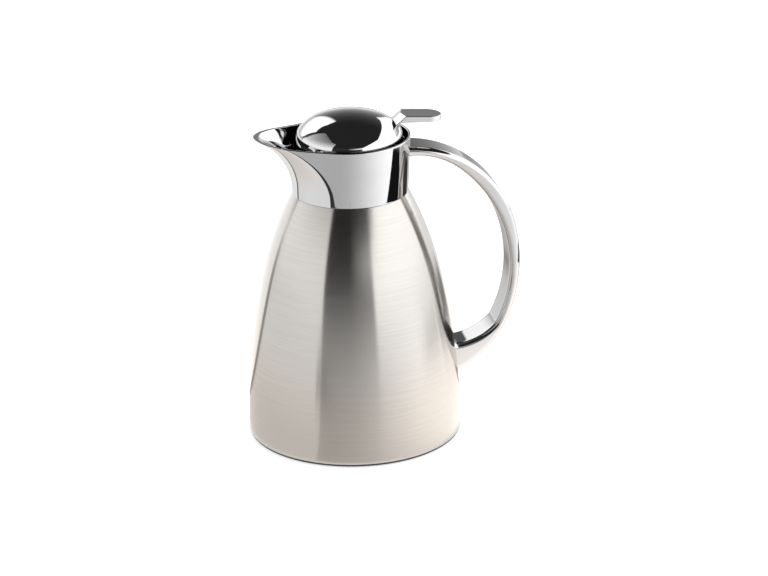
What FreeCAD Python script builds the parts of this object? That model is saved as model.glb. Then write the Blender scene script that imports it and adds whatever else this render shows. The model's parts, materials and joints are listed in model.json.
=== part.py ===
import FreeCAD, Part
import math
import os
import re
from collections import namedtuple

import Sketcher
from FreeCAD import Rotation, Vector

# A vacuum carafe with a flip lid.  Millimetres.  The origin is on the axis at the underside of the foot,
# +Z is up, the handle is towards +X and the spout towards -X.

SIZES = {
    # outer shell: two tangent arcs, turned about the axis
    "shell_foot": 2.0,
    "shell_top": 165.3,
    "shell_wall": 0.8,
    "low_arc_x": -437.2,
    "low_arc_z": -1.81,
    "low_arc_radius": 507.28,
    "arc_join": 111.0,
    "high_arc_radius": 226.3,
    "neck_hole_radius": 30.9,
    # foot and base
    "foot_inner": 58.0,
    "foot_outer": 66.5,
    "foot_height": 2.0,
    "base_bottom": 0.6,
    "base_brim": 69.6,
    "base_wall_outer": 68.7,
    "base_wall_top": 13.0,
    "base_bore": 52.05,
    "plastic_wall": 2.0,
    "cap_radius": 52.0,
    "cap_bottom": 1.2,
    "cap_floor": 3.7,
    "cap_top": 10.0,
    "coin_slot_length": 36.0,
    "coin_slot_width": 3.6,
    "coin_slot_depth": 1.5,
    # glass flask
    "glass_wall": 1.4,
    "vacuum_gap": 2.8,
    "flask_bottom": 12.0,
    "flask_radius": 62.0,
    "flask_heel": 28.0,
    "flask_shoulder_radius": 58.5,
    "flask_shoulder": 94.0,
    "flask_shoulder_round": 45.0,
    "flask_neck_radius": 27.0,
    "flask_neck": 141.0,
    "flask_neck_round": 16.0,
    "mouth_radius": 22.4,
    "mouth_top": 164.6,
    "nipple_bottom": 5.0,
    "nipple_radius": 5.0,
    "cushion_inner": 12.0,
    "cushion_outer": 32.0,
    "spacer_height": 50.0,
    "spacer_size": 6.0,
    "spacer_angle": 8.0,
    "shoulder_cushion_bottom": 116.0,
    "shoulder_cushion_top": 124.0,
    # collar and spout
    "collar_foot_radius": 37.5,
    "collar_rim_radius": 39.5,
    "collar_rim": 202.7,
    "collar_wall": 1.6,
    "collar_floor_top": 167.3,
    "collar_loft_top": 207.3,
    "spout_arc_radius": 43.8,
    "spout_taper": 0.696,
    "rim_rise_start": -22.0,
    "rim_rise_radius": 331.0,
    "rim_rise_length": 50.0,
    # neck funnel and what it clamps
    "tube_inner": 28.3,
    "tube_outer": 30.5,
    "tube_bottom": 152.5,
    "gasket_top": 167.0,
    "orifice_radius": 21.5,
    "orifice_top": 169.6,
    "dish_radius": 34.6,
    "dish_outer": 35.6,
    "dish_top": 174.0,
    "nut_inner": 30.6,
    "nut_outer": 35.2,
    "nut_bottom": 158.3,
    "nut_notch_radius": 2.2,
    # lid hinge
    "hinge_x": 33.0,
    "hinge_z": 199.0,
    "pin_radius": 1.25,
    "pin_length": 19.2,
    "running_gap": 0.05,
    "knuckle_radius": 2.4,
    "knuckle_width": 6.8,
    "knuckle_start": 27.0,
    "knuckle_rise": 29.5,
    "ear_gap": 14.0,
    "ear_span": 19.0,
    "ear_front": 30.6,
    "ear_back": 34.6,
    "spring_wire": 0.6,
    "spring_radius": 1.95,
    "spring_pitch": 0.68,
    "spring_length": 2.0,
    "spring_offset": 4.1,
    "spring_leg": 8.5,
    # lid
    "dome_radius": 34.7,
    "dome_edge_arc": 9.6,
    "dome_edge_angle": 42.15,
    "dome_side_arc": 26.5,
    "dome_side_angle": 70.3,
    "crown_flat": 0.25,
    "dome_equator": 201.1,
    "dome_skirt": 1.7,
    "dome_wall": 1.0,
    "lid_opening_start": 24.0,
    "lid_opening_end": 40.0,
    "hinge_notch_width": 20.8,
    "hinge_notch_top": 202.4,
    "stem_slot_width": 18.1,
    "stem_slot_bottom": 207.6,
    "stem_slot_top": 211.3,
    "carrier_radius": 33.4,
    "carrier_bottom": 199.0,
    "carrier_top": 200.8,
    "stopper_bottom": 168.5,
    "stopper_nose": 19.8,
    "seal_inner": 22.5,
    "seal_outer": 27.5,
    "seal_bottom": 171.75,
    "seal_top": 174.5,
    "stopper_flange": 26.5,
    "stopper_radius": 24.0,
    "boss_circle": 15.0,
    "boss_radius": 3.4,
    # lever: its foot on the carrier, its ridged stem and its paddle
    "foot_front": 13.5,
    "foot_back": 26.5,
    "foot_top": 204.4,
    "foot_half_width": 4.0,
    "stem_widens": 23.2,
    "stem_wide": 26.6,
    "stem_heel": 22.6,
    "ridge_low_x": 24.6,
    "ridge_low_z": 207.6,
    "ridge_slope": 39.4,
    "ridge_fall": 1.776,
    "ridge_run_in": 3.0,
    "stem_under_x": 27.6,
    "stem_under_z": 206.6,
    "paddle_under_x": 32.6,
    "paddle_under_z": 210.65,
    "paddle_back": 33.6,
    "paddle_back_top": 215.0,
    "paddle_tip": 60.3,
    "paddle_tip_top": 212.9,
    "paddle_tip_bottom": 209.3,
    "paddle_half_width": 8.7,
    # handle: chains of tangent arcs, outer curve and inner curve
    "handle_width": 24.0,
    "outer_x": 34.61,
    "outer_z": 120.21,
    "outer_radius_a": 74.47,
    "outer_angle_a": 12.58,
    "outer_radius_b": 110.16,
    "outer_angle_b": -17.28,
    "outer_radius_c": 68.54,
    "outer_angle_c": -72.0,
    "inner_x": 39.31,
    "inner_z": 139.27,
    "inner_radius_a": 48.86,
    "inner_angle_a": 51.86,
    "inner_radius_b": 87.75,
    "inner_angle_b": -26.22,
    "inner_radius_c": 9.85,
    "inner_angle_c": -44.64,
    "inner_radius_d": 39.37,
    "inner_angle_d": -86.0,
    "handle_outer_round": 3.0,
    "handle_inner_round": 1.5,
    "handle_joint_gap": 0.05,
    # fasteners
    "upper_screw_z": 191.3,
    "upper_screw_radius": 1.5,
    "upper_screw_length": 12.0,
    "upper_screw_hole_end": 51.0,
    "lower_screw_z": 46.7,
    "lower_screw_radius": 2.0,
    "lower_screw_length": 11.0,
    "lower_screw_hole_end": 77.5,
    "screw_clearance": 0.15,
    "plate_thickness": 1.0,
    "plate_angle": 26.0,
    "plate_bottom": 38.0,
    "plate_top": 56.0,
    "small_screw_radius": 1.25,
    "small_screw_head_height": 1.4,
    "stopper_screw_head": 2.5,
    "stopper_screw_length": 11.0,
    "lever_screw_head": 2.0,
    "lever_screw_length": 5.0,
    "lever_screw_front": 15.6,
    "lever_screw_back": 19.9,
}

LEVER_SCREWS = ("lever_screw_front", "lever_screw_back")
STOPPER_SCREWS = 3
COLLAR_LEVELS = 8
COLLAR_STEPS = 48

SHEET = "dims"
doc = FreeCAD.newDocument("carafe")
sheet = doc.addObject("Spreadsheet::Sheet", SHEET)
for row, (alias, size) in enumerate(SIZES.items(), 1):
    sheet.set(f"A{row}", alias)
    sheet.set(f"B{row}", str(size))
    sheet.setAlias(f"B{row}", alias)
doc.recompute()


# Expressions -----------------------------------------------------------------------------------------------


def bound(expression):
    """The expression with each size's name pointed at the sheet."""
    return re.sub(r"[a-z_]+", lambda m: f"{SHEET}.{m[0]}" if m[0] in SIZES else m[0], str(expression))


def value(expression):
    result = sheet.evalExpression(bound(expression))
    return float(getattr(result, "Value", result))


def bind(feature, **sizes):
    """Bind properties to the sheet; a double underscore stands for the dot in Placement.Base.x."""
    for name, expression in sizes.items():
        feature.setExpression(name.replace("__", "."), bound(expression))
    return feature


def shell_radius(z, inset="0", arc="low"):
    """The shell's radius at a height, on its lower or upper arc, moved inwards by inset."""
    if arc == "low":
        return f"(low_arc_x + sqrt((low_arc_radius - ({inset}))^2 - (({z}) - low_arc_z)^2))"
    share = "(1 - high_arc_radius / low_arc_radius)"
    centre_x = f"(low_arc_x + {share} * sqrt(low_arc_radius^2 - (arc_join - low_arc_z)^2))"
    centre_z = f"(low_arc_z + {share} * (arc_join - low_arc_z))"
    return f"({centre_x} + sqrt((high_arc_radius - ({inset}))^2 - (({z}) - {centre_z})^2))"


# Sketches --------------------------------------------------------------------------------------------------

Corner = namedtuple("Corner", "x y round arc")


def at(x, y, round=None, arc=None):
    """A corner of an outline: rounded by a tangent arc, or the start of an arc to the next corner.
    A positive arc turns left on its way, a negative one right."""
    return Corner(str(x), str(y), round, arc)


def offset(path, wall, side=1):
    """The path of corners moved sideways by wall, to the left for side 1 and to the right for side -1."""
    points = [Vector(value(c.x), value(c.y), 0) for c in path]
    runs = [(b - a).normalize() for a, b in zip(points, points[1:])]
    normals = [Vector(-run.y, run.x, 0) * side for run in runs]
    moved = []
    for i, corner in enumerate(path):
        before = normals[max(i - 1, 0)]
        after = normals[min(i, len(normals) - 1)]
        step = (before + after) * (1 / (1 + before.dot(after)))
        radius = None
        if corner.round:
            turn = runs[i - 1].cross(runs[i]).z * side
            radius = f"{corner.round} {'-' if turn > 0 else '+'} ({wall})"
        x = f"{corner.x} + {step.x:.6f} * ({wall})"
        y = f"{corner.y} + {step.y:.6f} * ({wall})"
        moved.append(at(x, y, radius))
    return moved


class Outline:
    """A closed outline drawn into a sketch, with every corner and radius bound to the sheet."""

    def __init__(self, sketch, corners):
        self.sketch = sketch
        self.corners = corners
        self.points = [Vector(value(c.x), value(c.y), 0) for c in corners]
        self.pieces = []
        count = len(corners)
        for i in range(count):
            if corners[i].round:
                self.pieces.append(self.rounding(i))
            self.pieces.append(self.run(i))
        for i, piece in enumerate(self.pieces):
            following = self.pieces[(i + 1) % len(self.pieces)]
            tangent = piece[3] or following[3]
            kind = "Tangent" if tangent else "Coincident"
            sketch.addConstraint(Sketcher.Constraint(kind, piece[0], piece[2], following[0], following[1]))

    def neighbours(self, i):
        return self.points[i - 1], self.points[i], self.points[(i + 1) % len(self.points)]

    def tangent_length(self, i):
        before, here, after = self.neighbours(i)
        turn = (here - before).getAngle(after - here)
        return value(self.corners[i].round) * math.tan(turn / 2)

    def ends(self, i):
        """The run's two ends, cut back where its corners are rounded."""
        after = (i + 1) % len(self.points)
        start, end = self.points[i], self.points[after]
        along = (end - start).normalize()
        if self.corners[i].round:
            start = start + along * self.tangent_length(i)
        if self.corners[after].round:
            end = end - along * self.tangent_length(after)
        return start, end

    def place(self, geometry, position, corner):
        for kind, distance, axis in (("DistanceX", corner.x, -2), ("DistanceY", corner.y, -1)):
            if abs(value(distance)) < 1e-9:
                self.sketch.addConstraint(Sketcher.Constraint("PointOnObject", geometry, position, axis))
                continue
            rule = Sketcher.Constraint(kind, -1, 1, geometry, position, value(distance))
            index = self.sketch.addConstraint(rule)
            self.sketch.setExpression(f"Constraints[{index}]", bound(distance))

    def radius(self, geometry, size):
        index = self.sketch.addConstraint(Sketcher.Constraint("Radius", geometry, abs(value(size))))
        self.sketch.setExpression(f"Constraints[{index}]", bound(f"abs({size})"))

    def run(self, i):
        """The straight or curved run from corner i to the next; returns (geometry, from, to, rounded)."""
        start, end = self.ends(i)
        corner = self.corners[i]
        if corner.arc:
            size = value(corner.arc)
            chord = end - start
            left = Vector(-chord.y, chord.x, 0).normalize() * math.copysign(1, size)
            centre = (start + end) * 0.5 + left * math.sqrt(size**2 - chord.Length**2 / 4)
            first, last = (start, end) if size > 0 else (end, start)
            angles = [math.atan2(p.y - centre.y, p.x - centre.x) for p in (first, last)]
            circle = Part.Circle(centre, Vector(0, 0, 1), abs(size))
            geometry = self.sketch.addGeometry(Part.ArcOfCircle(circle, *angles), False)
            self.radius(geometry, corner.arc)
            piece = (geometry, 1, 2, False) if size > 0 else (geometry, 2, 1, False)
        else:
            piece = (self.sketch.addGeometry(Part.LineSegment(start, end), False), 1, 2, False)
        if not corner.round:
            self.place(piece[0], piece[1], corner)
        else:
            self.sketch.addConstraint(Sketcher.Constraint("PointOnObject", self.pin, 1, piece[0]))
        after = (i + 1) % len(self.corners)
        if self.corners[after].round:
            self.pin = self.sketch.addGeometry(Part.Point(self.points[after]), True)
            self.place(self.pin, 1, self.corners[after])
            self.sketch.addConstraint(Sketcher.Constraint("PointOnObject", self.pin, 1, piece[0]))
        return piece

    def rounding(self, i):
        before, here, after = self.neighbours(i)
        size = value(self.corners[i].round)
        incoming = (here - before).normalize()
        outgoing = (after - here).normalize()
        left_turn = incoming.cross(outgoing).z > 0
        start = here - incoming * self.tangent_length(i)
        end = here + outgoing * self.tangent_length(i)
        side = 1 if left_turn else -1
        centre = start + Vector(-incoming.y, incoming.x, 0) * side * size
        first, last = (start, end) if left_turn else (end, start)
        angles = [math.atan2(p.y - centre.y, p.x - centre.x) for p in (first, last)]
        circle = Part.Circle(centre, Vector(0, 0, 1), size)
        geometry = self.sketch.addGeometry(Part.ArcOfCircle(circle, *angles), False)
        self.radius(geometry, self.corners[i].round)
        return (geometry, 1, 2, True) if left_turn else (geometry, 2, 1, True)


def new_body(label):
    body = doc.addObject("PartDesign::Body", label)
    body.Label = label
    return body


def new_sketch(body, plane="XZ_Plane"):
    sketch = body.newObject("Sketcher::SketchObject", f"{body.Label}_sketch")
    support = next(f for f in body.Origin.OriginFeatures if f.Role == plane)
    sketch.AttachmentSupport = [(support, "")]
    sketch.MapMode = "FlatFace"
    return sketch


def outline_sketch(body, corners, plane="XZ_Plane"):
    sketch = new_sketch(body, plane)
    Outline(sketch, corners)
    return sketch


def circle_sketch(body, x, y, radius, plane):
    sketch = new_sketch(body, plane)
    circle = Part.Circle(Vector(value(x), value(y), 0), Vector(0, 0, 1), value(radius))
    geometry = sketch.addGeometry(circle, False)
    for kind, distance, axis in (("DistanceX", x, -2), ("DistanceY", y, -1)):
        if abs(value(distance)) < 1e-9:
            sketch.addConstraint(Sketcher.Constraint("PointOnObject", geometry, 3, axis))
        else:
            index = sketch.addConstraint(Sketcher.Constraint(kind, -1, 1, geometry, 3, value(distance)))
            sketch.setExpression(f"Constraints[{index}]", bound(distance))
    index = sketch.addConstraint(Sketcher.Constraint("Radius", geometry, value(radius)))
    sketch.setExpression(f"Constraints[{index}]", bound(radius))
    return sketch


# Features --------------------------------------------------------------------------------------------------


def turn(body, corners, kind="Revolution", angle="360"):
    """Turn an outline in the XZ plane about the axis; a part turn is centred on +X."""
    sketch = outline_sketch(body, corners)
    feature = body.newObject(f"PartDesign::{kind}", f"{body.Label}_{kind}")
    feature.Profile = sketch
    feature.ReferenceAxis = (sketch, ["V_Axis"])
    feature.Midplane = True
    bind(feature, Angle=angle)
    doc.recompute()
    return feature


def extrude(body, sketch, kind, length, midplane=True, reverse=False):
    """Pad or Pocket a sketch by a length; a pocket has to change the volume."""
    before = body.Shape.Volume if body.Tip else 0
    feature = body.newObject(f"PartDesign::{kind}", f"{body.Label}_{kind}")
    feature.Profile = sketch
    feature.Midplane = midplane
    feature.Reversed = reverse
    bind(feature, Length=length)
    doc.recompute()
    change = body.Shape.Volume - before
    if (kind == "Pocket" and change > -1e-3) or (kind == "Pad" and change < 1e-3):
        raise RuntimeError(f"{feature.Label} changed nothing")
    return feature


def round_edges(body, chosen, radius):
    """Fillet the edges of the body's last feature that the test picks."""
    base = body.Tip
    names = [f"Edge{i}" for i, edge in enumerate(base.Shape.Edges, 1) if chosen(edge)]
    fillet = body.newObject("PartDesign::Fillet", f"{body.Label}_round")
    fillet.Base = (base, names)
    bind(fillet, Radius=radius)
    doc.recompute()
    return fillet


def polar(body, feature, count):
    """Repeat a feature of the body around the axis."""
    pattern = body.newObject("PartDesign::PolarPattern", f"{body.Label}_pattern")
    pattern.Originals = [feature]
    axis = next(f for f in body.Origin.OriginFeatures if f.Role == "Z_Axis")
    pattern.Axis = (axis, [""])
    pattern.Angle = 360
    pattern.Occurrences = count
    body.Tip = pattern
    doc.recompute()
    return pattern


def cylinder(label, radius, height, x="0", y="0", z="0", direction=Vector(0, 0, 1)):
    """A cylinder from a point along a direction."""
    part = doc.addObject("Part::Cylinder", label)
    part.Placement.Rotation = Rotation(Vector(0, 0, 1), direction)
    bind(part, Radius=radius, Height=height)
    bind(part, Placement__Base__x=x, Placement__Base__y=y, Placement__Base__z=z)
    return part


def fuse(label, parts):
    joined = doc.addObject("Part::MultiFuse", label)
    joined.Shapes = parts
    joined.Label = label
    return joined


def group(label, parts):
    """Separate solids that share a node."""
    compound = doc.addObject("Part::Compound", label)
    compound.Links = parts
    compound.Label = label
    return compound


def screw(label, radius, length, head, head_height, x, y, z, direction):
    """A cylinder-head screw: its head's underside is at the point, its shank runs along the direction."""
    shank = cylinder(f"{label}_shank", radius, length, x, y, z, direction)
    cap = cylinder(f"{label}_head", head, head_height, x, y, z, direction * -1)
    return fuse(label, [shank, cap])


# Body and base ---------------------------------------------------------------------------------------------


def outer_shell():
    body = new_body("outer_shell")
    inner_top = "shell_top - shell_wall"
    turn(body, [
        at(shell_radius("shell_foot"), "shell_foot", arc="low_arc_radius"),
        at(shell_radius("arc_join"), "arc_join", arc="high_arc_radius"),
        at(shell_radius("shell_top", arc="high"), "shell_top"),
        at("neck_hole_radius", "shell_top"),
        at("neck_hole_radius", inner_top),
        at(shell_radius(inner_top, "shell_wall", "high"), inner_top, arc="shell_wall - high_arc_radius"),
        at(shell_radius("arc_join", "shell_wall"), "arc_join", arc="shell_wall - low_arc_radius"),
        at(shell_radius("shell_foot", "shell_wall"), "shell_foot"),
    ])
    hole = circle_sketch(body, "0", "lower_screw_z", "lower_screw_radius + screw_clearance", "YZ_Plane")
    extrude(body, hole, "Pocket", "lower_screw_hole_end", midplane=False, reverse=True)
    return body


def foot_ring():
    body = new_body("foot_ring")
    turn(body, [
        at("foot_inner", "0"),
        at("foot_outer", "0"),
        at("foot_outer", "foot_height"),
        at("foot_inner", "foot_height"),
    ])
    return body


def base_ring():
    """Ring in the shell's foot: brim under the shell, groove for the foot ring, bore for the cap."""
    body = new_body("base_ring")
    floor = "foot_height + plastic_wall"
    bore_wall = "base_bore + plastic_wall"
    turn(body, [
        at("base_bore", "base_bottom"),
        at("foot_inner - running_gap", "base_bottom"),
        at("foot_inner - running_gap", "foot_height"),
        at("foot_outer + running_gap", "foot_height"),
        at("foot_outer + running_gap", "base_bottom"),
        at("base_brim", "base_bottom", round="0.4"),
        at("base_brim", "shell_foot"),
        at("base_wall_outer", "shell_foot"),
        at("base_wall_outer", "base_wall_top"),
        at("base_wall_outer - plastic_wall", "base_wall_top"),
        at("base_wall_outer - plastic_wall", floor, round="1"),
        at(bore_wall, floor, round="1"),
        at(bore_wall, "cap_top"),
        at("base_bore", "cap_top"),
    ])
    return body


def base_cap():
    """Service cap, turned with a coin; its floor presses the flask upwards."""
    body = new_body("base_cap")
    turn(body, [
        at("0", "cap_bottom"),
        at("cap_radius", "cap_bottom", round="0.5"),
        at("cap_radius", "cap_top"),
        at("cap_radius - plastic_wall", "cap_top"),
        at("cap_radius - plastic_wall", "cap_floor", round="1"),
        at("0", "cap_floor"),
    ])
    slot = outline_sketch(body, [
        at("-coin_slot_length / 2", "-coin_slot_width / 2"),
        at("coin_slot_length / 2", "-coin_slot_width / 2"),
        at("coin_slot_length / 2", "coin_slot_width / 2"),
        at("-coin_slot_length / 2", "coin_slot_width / 2"),
    ], "XY_Plane")
    extrude(body, slot, "Pocket", "cap_bottom + coin_slot_depth", midplane=False, reverse=True)
    return body


# Glass flask and its cushions ------------------------------------------------------------------------------


def flask_path(inset, top):
    """The outside of a flask wall from the axis to the mouth, moved inwards by inset."""
    outside = [
        at("0", "flask_bottom"),
        at("flask_radius", "flask_bottom", round="flask_heel"),
        at("flask_shoulder_radius", "flask_shoulder", round="flask_shoulder_round"),
        at("flask_neck_radius", "flask_neck", round="flask_neck_round"),
        at("flask_neck_radius", top),
    ]
    return offset(outside, inset) if inset else outside


def flask_outer_wall():
    body = new_body("flask_outer_wall")
    top = "mouth_top - glass_wall"
    outside = flask_path(None, top)
    turn(body, outside + offset(outside, "glass_wall")[::-1])
    nipple = [
        at("0", "nipple_bottom"),
        at("nipple_radius / 2", "nipple_bottom", round="1"),
        at("nipple_radius", "flask_bottom + glass_wall / 2"),
        at("0", "flask_bottom + glass_wall / 2"),
    ]
    turn(body, nipple)
    return body


def flask_inner_wall():
    """The inner wall carries the fused lip that closes the vacuum at the mouth."""
    body = new_body("flask_inner_wall")
    lip = "mouth_top - glass_wall"
    outside = flask_path("glass_wall + vacuum_gap", lip)[:-1]
    inside = flask_path("2 * glass_wall + vacuum_gap", lip)[:-1]
    neck = outside[-1].x
    turn(body, outside + [
        at(neck, lip),
        at("flask_neck_radius", lip),
        at("flask_neck_radius", "mouth_top", round="0.5"),
        at(inside[-1].x, "mouth_top", round="0.5"),
    ] + inside[::-1])
    return body


def flask_spacers():
    """Three pads between the glass walls, each an arc of a ring."""
    lean = "(flask_radius - flask_shoulder_radius) / (flask_shoulder - flask_bottom)"
    outside = f"flask_radius - glass_wall - {lean} * (spacer_height + spacer_size / 2 - flask_bottom)"
    inside = (f"flask_radius - glass_wall - vacuum_gap + 0.1"
              f" - {lean} * (spacer_height - spacer_size / 2 - flask_bottom)")
    pads = []
    for number in range(3):
        pad = new_body(f"flask_spacer_{number}")
        turn(pad, [
            at(inside, "spacer_height - spacer_size / 2"),
            at(f"{outside} - running_gap", "spacer_height - spacer_size / 2"),
            at(f"{outside} - running_gap", "spacer_height + spacer_size / 2"),
            at(inside, "spacer_height + spacer_size / 2"),
        ], angle="spacer_angle")
        pad.Placement.Rotation = Rotation(Vector(0, 0, 1), 120 * number + 60)
        pads.append(pad)
    return group("flask_spacers", pads)


def flask_cushion():
    body = new_body("flask_cushion")
    turn(body, [
        at("cushion_inner", "cap_floor"),
        at("cushion_outer", "cap_floor"),
        at("cushion_outer", "flask_bottom", round="1"),
        at("cushion_inner", "flask_bottom", round="1"),
    ])
    return body


def shoulder_cushion():
    """Rubber ring that fills the space between the flask's shoulder and the shell."""
    body = new_body("shoulder_cushion")
    slope = "(flask_shoulder_radius - flask_neck_radius) / (flask_neck - flask_shoulder)"
    low, high = "shoulder_cushion_bottom", "shoulder_cushion_top"
    inset = "shell_wall + 4 * running_gap"
    turn(body, [
        at(f"flask_shoulder_radius - {slope} * ({low} - flask_shoulder) + 0.4", low),
        at(shell_radius(low, inset, "high"), low),
        at(shell_radius(high, inset, "high"), high),
        at(f"flask_shoulder_radius - {slope} * ({high} - flask_shoulder) + 0.4", high),
    ])
    return body


def neck_gasket():
    body = new_body("neck_gasket")
    turn(body, [
        at("mouth_radius + 0.1", "mouth_top"),
        at("tube_inner - 2 * running_gap", "mouth_top"),
        at("tube_inner - 2 * running_gap", "gasket_top"),
        at("mouth_radius + 0.1", "gasket_top"),
    ])
    return body


# Collar, neck and handle -----------------------------------------------------------------------------------


def collar_radius(z, inset="0"):
    """The collar's round part widens evenly from its foot to its rim."""
    rise = f"(({z}) - shell_top) / (collar_rim - shell_top)"
    return f"(collar_foot_radius + (collar_rim_radius - collar_foot_radius) * {rise} - ({inset}))"


def collar_section(z, inset):
    """The collar's outline at a height: a round wall and a smaller round lip joined by flat flanks."""
    round_wall = value(collar_radius(z, inset))
    lip_axis = value("collar_foot_radius + spout_arc_radius")
    lip_arc = value("spout_arc_radius") + inset
    lip = lip_axis - math.sqrt(lip_arc**2 - (z - value("shell_top"))**2)
    reach = max(lip - round_wall, 0)
    taper = value("spout_taper")
    lip_radius = round_wall - taper * reach
    lip_centre = (1 + taper) * reach
    flank = math.acos(taper / (1 + taper))
    lip_end = math.atan2(lip_radius * math.sin(flank), lip_centre + lip_radius * math.cos(flank))
    points = []
    for i in range(COLLAR_STEPS):
        angle = 2 * math.pi * i / COLLAR_STEPS - math.pi
        away = abs(angle)
        if away < lip_end:
            distance = lip_centre * math.cos(away)
            distance += math.sqrt(lip_radius**2 - (lip_centre * math.sin(away))**2)
        elif away < flank:
            distance = round_wall / math.cos(away - flank)
        else:
            distance = round_wall
        points.append(Vector(-distance * math.cos(angle), distance * math.sin(angle), z))
    curve = Part.BSplineCurve()
    curve.interpolate(points, PeriodicFlag=True)
    return Part.Wire(curve.toShape())


def above_rim():
    """All that lies over the rim: level round the lid, rising on an arc towards the spout."""
    rim, start = value("collar_rim"), value("rim_rise_start")
    radius, length = value("rim_rise_radius"), value("rim_rise_length")
    rise = []
    for run in (0, length / 2, length):
        rise.append(Vector(start - run, 0, rim + radius - math.sqrt(radius**2 - run**2)))
    far = value("spout_arc_radius + collar_rim_radius")
    level = Part.makePolygon([rise[2], Vector(rise[2].x, 0, rim + far), Vector(far, 0, rim + far),
                              Vector(far, 0, rim), rise[0]])
    face = Part.Face(Part.Wire([Part.Arc(*rise).toShape(), *level.Edges]))
    face.translate(Vector(0, -far, 0))
    return face.extrude(Vector(0, 2 * far, 0))


def collar():
    """Spout collar: a loft with a curved rim, hollow above its clamped floor."""
    foot, floor, top = value("shell_top"), value("collar_floor_top"), value("collar_loft_top")
    shares = [i / COLLAR_LEVELS for i in range(COLLAR_LEVELS + 1)]
    outside = Part.makeLoft([collar_section(foot + (top - foot) * i, 0) for i in shares], True)
    wall = value("collar_wall")
    inside = Part.makeLoft([collar_section(floor + (top - floor) * i, wall) for i in shares], True)
    hole = Part.makeCylinder(value("tube_outer + 2 * running_gap"), top)
    screw_radius, screw_end = value("upper_screw_radius + screw_clearance"), value("upper_screw_hole_end")
    screw_level = Vector(0, 0, value("upper_screw_z"))
    screw_hole = Part.makeCylinder(screw_radius, screw_end, screw_level, Vector(1, 0, 0))
    feature = doc.addObject("Part::Feature", "collar")
    feature.Label = "collar"
    feature.Shape = outside.cut(inside).cut(above_rim()).cut(hole).cut(screw_hole)
    feature.Placement = FreeCAD.Placement()
    return feature


def neck_funnel():
    """Black neck: tube round the flask's mouth, dished seat for the stopper, ears for the hinge pin."""
    body = new_body("neck_funnel")
    turn(body, [
        at("tube_inner", "tube_bottom"),
        at("tube_outer", "tube_bottom"),
        at("tube_outer", "collar_floor_top"),
        at("dish_outer", "collar_floor_top"),
        at("dish_outer", "dish_top"),
        at("dish_radius", "dish_top"),
        at("orifice_radius", "orifice_top", round="1"),
        at("orifice_radius", "gasket_top"),
        at("tube_inner", "gasket_top"),
    ])
    ears = outline_sketch(body, [
        at("ear_front", "dish_top - 1.5"),
        at("ear_back", "dish_top - 1.5"),
        at("ear_back", "hinge_z - 3"),
        at("hinge_x + knuckle_radius", "hinge_z", arc="knuckle_radius + 0.001"),
        at("hinge_x - knuckle_radius", "hinge_z"),
    ])
    extrude(body, ears, "Pad", "ear_span")
    between = outline_sketch(body, [
        at("ear_front - 5", "dish_top + 0.01"),
        at("ear_back + 5", "dish_top + 0.01"),
        at("ear_back + 5", "hinge_z + 5"),
        at("ear_front - 5", "hinge_z + 5"),
    ])
    extrude(body, between, "Pocket", "ear_gap")
    bore = circle_sketch(body, "hinge_x", "hinge_z", "pin_radius", "XZ_Plane")
    extrude(body, bore, "Pocket", "ear_span + 2")
    return body


def collar_nut():
    body = new_body("collar_nut")
    turn(body, [
        at("nut_inner", "nut_bottom"),
        at("nut_outer", "nut_bottom", round="0.6"),
        at("nut_outer", "shell_top - shell_wall"),
        at("nut_inner", "shell_top - shell_wall"),
    ])
    grip = circle_sketch(body, "nut_outer + 1", "0", "nut_notch_radius", "XY_Plane")
    notch = extrude(body, grip, "Pocket", "shell_top", midplane=False, reverse=True)
    polar(body, notch, 8)
    return body


def arc_chain(curve, arcs, start):
    """Corners along a chain of tangent arcs, each given by its letter, turning clockwise."""
    x, z = f"{curve}_x", f"{curve}_z"
    first = f"{curve}_radius_{arcs[0]}"
    corners = [at(f"{x} + {first} * cos({start})", f"{z} + {first} * sin({start})", arc=f"-{first}")]
    for letter, following in zip(arcs, arcs[1:] + [None]):
        radius, angle = f"{curve}_radius_{letter}", f"{curve}_angle_{letter}"
        end = (f"{x} + {radius} * cos({angle})", f"{z} + {radius} * sin({angle})")
        if following:
            larger = f"{curve}_radius_{following}"
            corners.append(at(*end, arc=f"-{larger}"))
            x = f"({x} + ({radius} - {larger}) * cos({angle}))"
            z = f"({z} + ({radius} - {larger}) * sin({angle}))"
        else:
            corners.append(at(*end))
    return corners


def reverse_chain(corners):
    """The same arcs walked the other way round."""
    turned = corners[::-1]
    arcs = [c.arc.lstrip("-") for c in corners[:-1]][::-1] + [None]
    return [at(c.x, c.y, arc=arc) for c, arc in zip(turned, arcs)]


def arcs_of(curve, arcs):
    """A test for the edges that run along a chain, known by their radii."""
    radii = [value(f"{curve}_radius_{letter}") for letter in arcs]

    def along(edge):
        circle = edge.Curve.TypeId == "Part::GeomCircle"
        return circle and min(abs(edge.Curve.Radius - radius) for radius in radii) < 1e-3

    return along


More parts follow.
